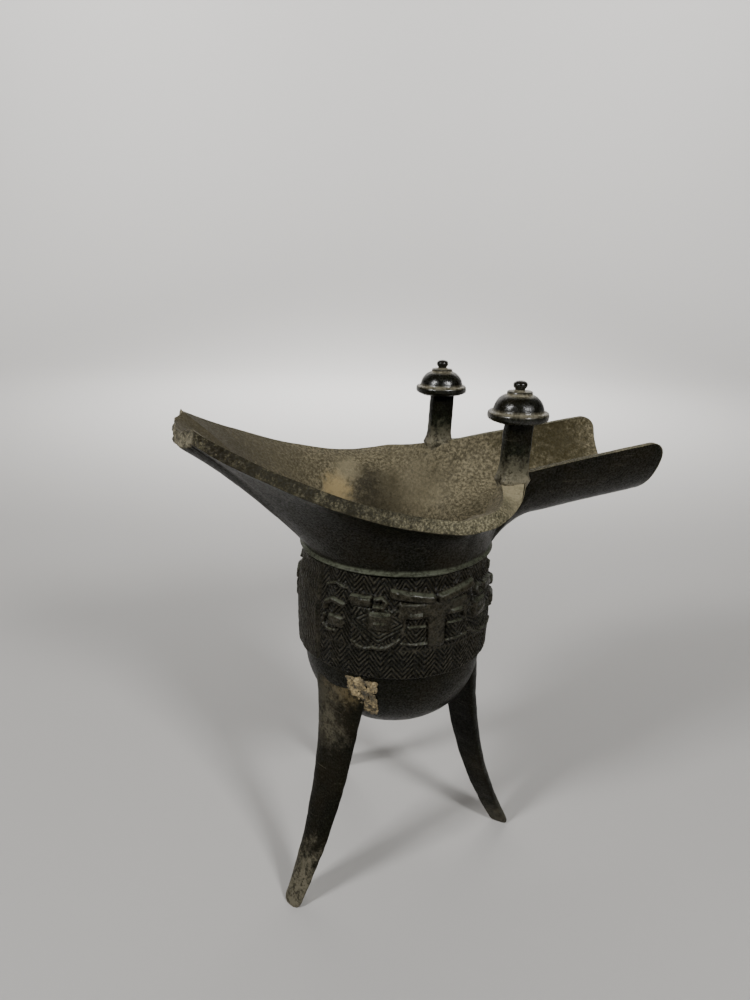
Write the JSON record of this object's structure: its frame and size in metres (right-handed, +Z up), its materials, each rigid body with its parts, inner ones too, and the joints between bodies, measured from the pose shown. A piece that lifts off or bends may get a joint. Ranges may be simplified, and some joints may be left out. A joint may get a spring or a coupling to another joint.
{
  "type": "bronze jue vessel",
  "caption": "Footed bronze wine cup with a flared mouth, trough spout, pointed tail, capped posts, loop handle and a cast mask band.",
  "frame": {"origin": "middle of the bounding box seen from above, on the plane of the three feet", "axes": "+Z up, +X from the tail towards the spout, -Y towards the side with the main mask, +Y towards the handle"},
  "size_m": [0.1656, 0.098, 0.1804],
  "materials": {
    "bronze": "dark greenish-black patina with grey-green and ochre deposits"
  },
  "bodies": {
    "root": {"jue_vessel": "bronze"}
  },
  "joints": []
}
